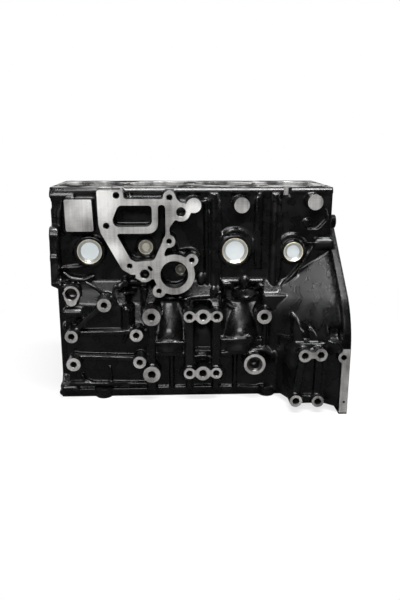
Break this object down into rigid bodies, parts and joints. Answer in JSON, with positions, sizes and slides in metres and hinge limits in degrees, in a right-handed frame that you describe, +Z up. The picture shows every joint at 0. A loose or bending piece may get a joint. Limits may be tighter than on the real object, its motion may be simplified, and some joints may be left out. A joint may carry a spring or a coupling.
{
  "type": "engine block",
  "caption": "Painted cast-iron in-line engine block with closed deck, deep skirt, cast-on upper bell housing, cooler gasket face, pressed core plugs and bolted main bearing caps.",
  "frame": {"origin": "crankshaft axis at the middle of the centre main bearing", "axes": "+X along the crankshaft towards the flywheel end, +Z up towards the cylinder head, -Y is the side with the cooler face and the accessory bosses"},
  "size_m": [0.4155, 0.354, 0.307],
  "materials": {
    "block": "semi-gloss black paint with bare machined faces",
    "plug": "zinc-plated pressed steel",
    "small_plug": "yellow-passivated steel",
    "gallery_plug": "dull steel",
    "main_cap": "bare machined casting",
    "bolt": "black oxide"
  },
  "bodies": {
    "root": {"block": "block", "core_plug_1": "plug", "core_plug_2": "plug", "core_plug_3": "plug", "core_plug_far_1": "plug", "core_plug_far_2": "plug", "core_plug_far_3": "plug", "core_plug_far_4": "plug", "chamber_plug": "small_plug", "port_plug": "small_plug", "gallery_plug_front": "gallery_plug", "gallery_plug_rear": "gallery_plug", "main_cap_1": "main_cap", "main_cap_2": "main_cap", "main_cap_3": "main_cap", "main_cap_4": "main_cap", "main_cap_5": "main_cap", "main_cap_bolts": "bolt"}
  },
  "joints": []
}
